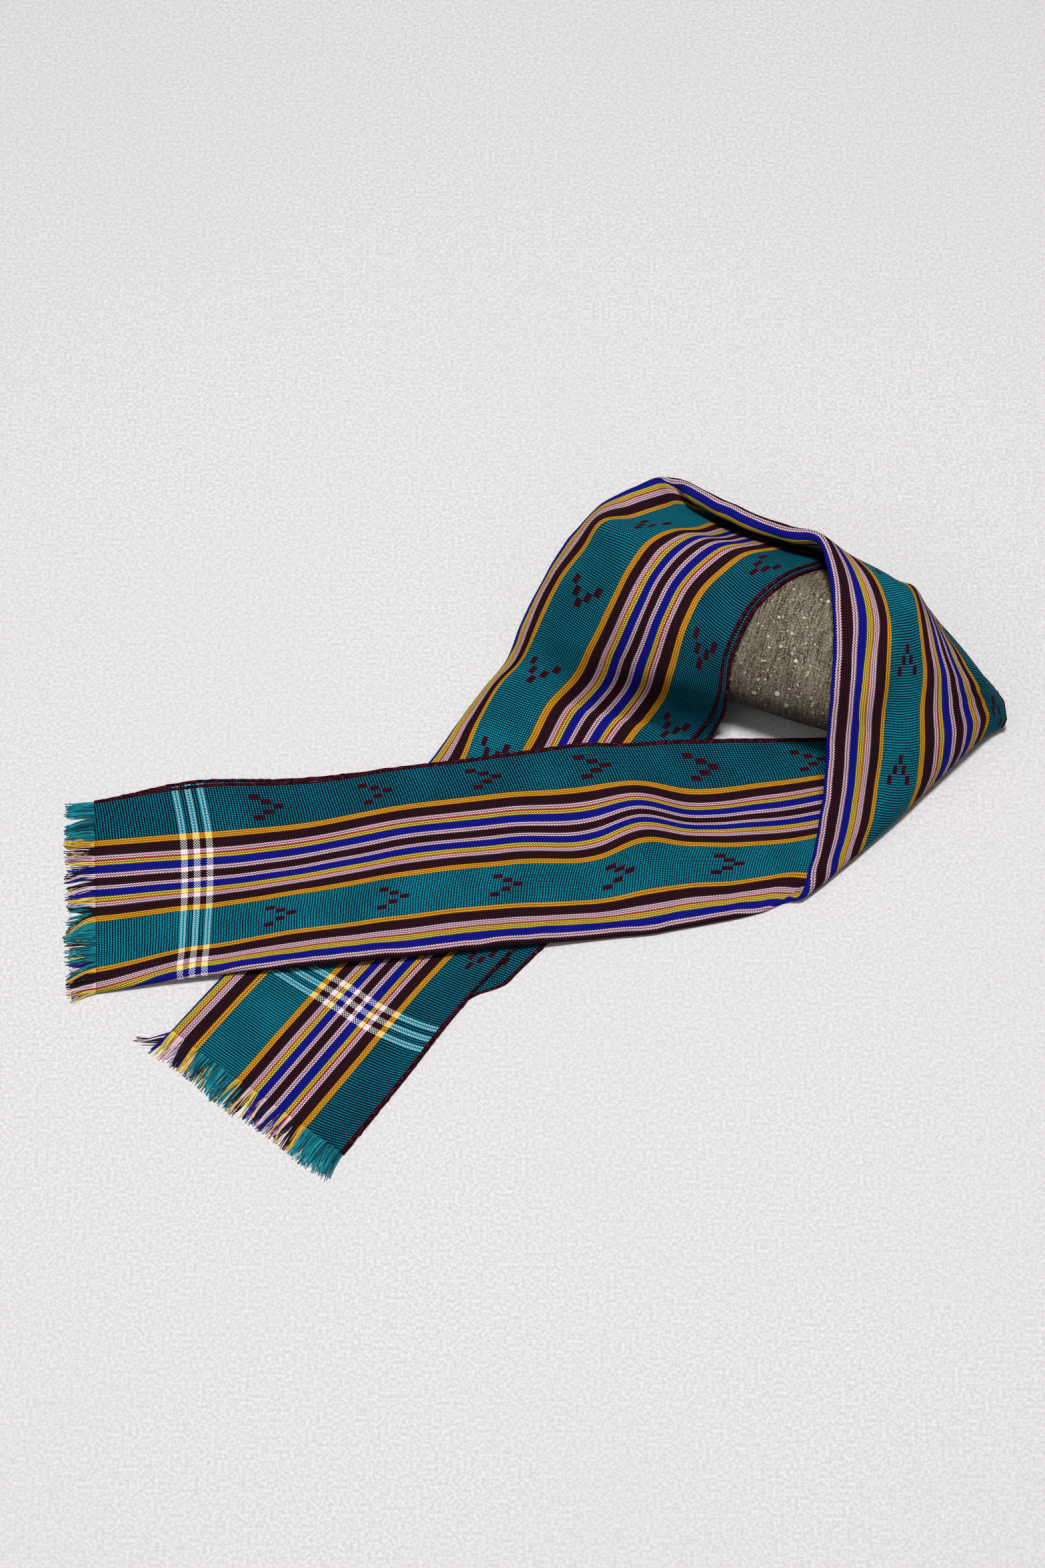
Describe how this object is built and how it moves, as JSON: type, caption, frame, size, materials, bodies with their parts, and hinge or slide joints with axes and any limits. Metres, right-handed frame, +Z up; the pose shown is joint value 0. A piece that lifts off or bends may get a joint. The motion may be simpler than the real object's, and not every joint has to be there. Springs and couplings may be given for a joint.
{
  "type": "woven shawl draped over a stone roller",
  "caption": "Striped handwoven shawl folded in half along its length, looped over and behind a short stone roller, with fringed ends lying crossed on the table.",
  "frame": {"origin": "bottom centre of the bounding box, on the table", "axes": "+Z up; +X from the fringed ends towards the turned-over corner; the camera of the picture looks along +Y and down"},
  "size_m": [0.6878, 0.512, 0.1304],
  "materials": {
    "cloth": "handwoven cotton, teal with striped groups, matte",
    "yarn": "loose cotton yarn ends, matte",
    "stone": "rough turned stone with pale specks"
  },
  "bodies": {
    "root": {"shawl": "cloth", "fringe_near": "yarn", "fringe_far": "yarn", "stone_roller": "stone"}
  },
  "joints": []
}
